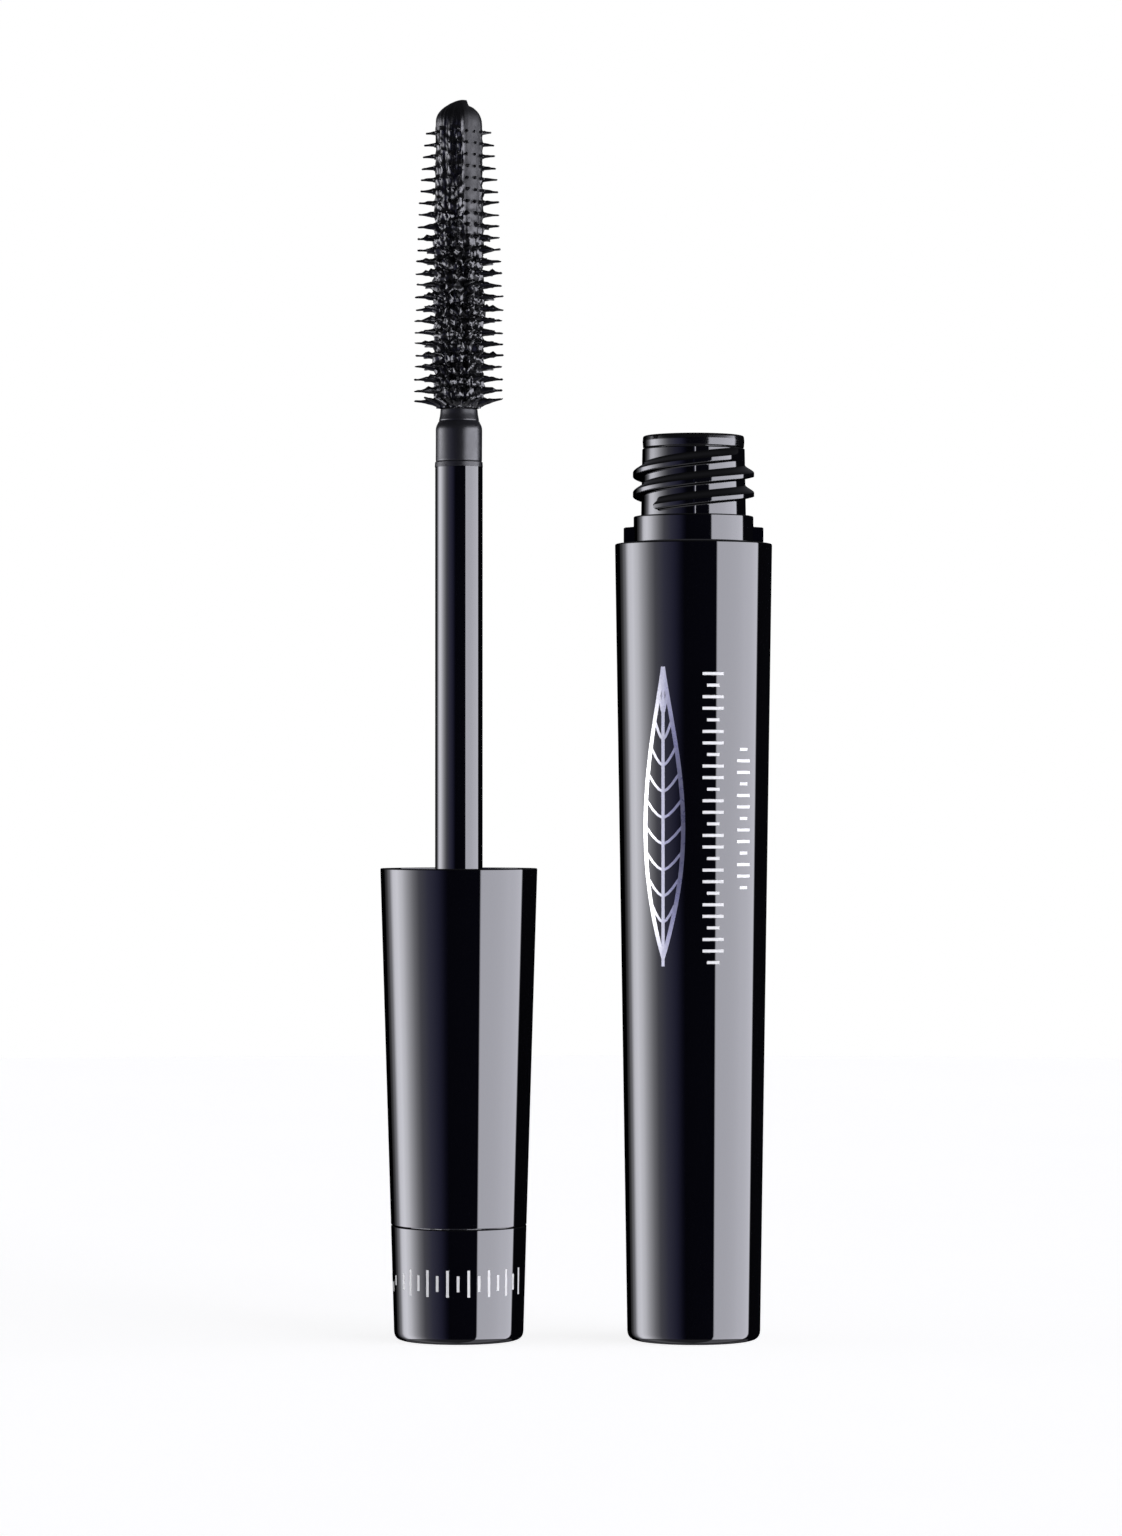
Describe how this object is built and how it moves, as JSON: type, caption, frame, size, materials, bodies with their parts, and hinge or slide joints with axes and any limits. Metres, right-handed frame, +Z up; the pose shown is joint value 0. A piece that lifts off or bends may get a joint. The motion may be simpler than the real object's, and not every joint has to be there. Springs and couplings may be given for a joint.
{
  "type": "mascara with adjustable brush",
  "caption": "Opened mascara in gloss black: tapered bottle with threaded neck, and its applicator standing on a knob that twists the brush.",
  "frame": {"origin": "centre of the bottle's flat base, on the surface that the bottle and the applicator stand on", "axes": "+Z up along the bottle, +X from the applicator towards the bottle, -Y towards the viewer"},
  "size_m": [0.0399, 0.016, 0.126],
  "materials": {
    "gloss_black": "polished piano-black moulding",
    "neck_black": "gloss black moulding with a parting line",
    "stem_black": "gloss black extrusion",
    "wiper_plastic": "soft glossy moulding, wet with mascara inside",
    "inner_plastic": "satin moulded black",
    "ferrule_elastomer": "matte dark grey elastomer",
    "coated_brush": "black elastomer coated with wet black mascara",
    "seal_rubber": "matte black rubber",
    "gasket_foam": "off-white sealing disc",
    "spring_steel": "bright stamped steel",
    "rod_steel": "drawn stainless wire"
  },
  "bodies": {
    "bottle": {"bottle_sleeve": "gloss_black", "vial": "neck_black", "wiper": "wiper_plastic"},
    "gasket": {"cap_gasket": "gasket_foam"},
    "cap": {"cap_shell": "gloss_black", "stop_ring": "inner_plastic", "inner_cap": "inner_plastic", "stem": "stem_black", "rod_seal": "seal_rubber", "brush_ferrule": "ferrule_elastomer"},
    "knob": {"twist_knob": "gloss_black", "knob_hub": "inner_plastic", "retaining_clip": "spring_steel", "drive_rod": "rod_steel"},
    "brush_1": {"brush_ring_1": "coated_brush"},
    "brush_2": {"brush_ring_2": "coated_brush"},
    "brush_3": {"brush_ring_3": "coated_brush"},
    "brush_4": {"brush_ring_4": "coated_brush"},
    "brush_5": {"brush_ring_5": "coated_brush"},
    "brush_6": {"brush_ring_6": "coated_brush", "brush_tip": "coated_brush"}
  },
  "joints": [
    {"name": "applicator_lift", "type": "slide", "parent": "bottle", "child": "gasket", "axis": [0, 0, 1], "range_m": [0, 0.09]},
    {"name": "cap_turn", "type": "hinge", "parent": "gasket", "child": "cap", "pos_m": [-0.0239, 0, 0.04], "axis": [0, 0, -1], "range_deg": [0, 360]},
    {"name": "knob_twist", "type": "hinge", "parent": "cap", "child": "knob", "pos_m": [-0.0239, 0, 0.0115], "axis": [0, 0, -1], "range_deg": [0, 270]},
    {"name": "brush_twist_1", "type": "hinge", "parent": "cap", "child": "brush_1", "pos_m": [-0.0239, 0, 0.0947], "axis": [0, 0, -1], "range_deg": [0, 45]},
    {"name": "brush_twist_2", "type": "hinge", "parent": "brush_1", "child": "brush_2", "pos_m": [-0.0239, 0, 0.09944], "axis": [0, 0, -1], "range_deg": [0, 45]},
    {"name": "brush_twist_3", "type": "hinge", "parent": "brush_2", "child": "brush_3", "pos_m": [-0.0239, 0, 0.10418], "axis": [0, 0, -1], "range_deg": [0, 45]},
    {"name": "brush_twist_4", "type": "hinge", "parent": "brush_3", "child": "brush_4", "pos_m": [-0.0239, 0, 0.10892], "axis": [0, 0, -1], "range_deg": [0, 45]},
    {"name": "brush_twist_5", "type": "hinge", "parent": "brush_4", "child": "brush_5", "pos_m": [-0.0239, 0, 0.11366], "axis": [0, 0, -1], "range_deg": [0, 45]},
    {"name": "brush_twist_6", "type": "hinge", "parent": "brush_5", "child": "brush_6", "pos_m": [-0.0239, 0, 0.1184], "axis": [0, 0, -1], "range_deg": [0, 45]}
  ],
  "couplings": [
    {"joint": "brush_twist_1", "follows": "knob_twist", "ratio": 0.16667},
    {"joint": "brush_twist_2", "follows": "knob_twist", "ratio": 0.16667},
    {"joint": "brush_twist_3", "follows": "knob_twist", "ratio": 0.16667},
    {"joint": "brush_twist_4", "follows": "knob_twist", "ratio": 0.16667},
    {"joint": "brush_twist_5", "follows": "knob_twist", "ratio": 0.16667},
    {"joint": "brush_twist_6", "follows": "knob_twist", "ratio": 0.16667}
  ]
}
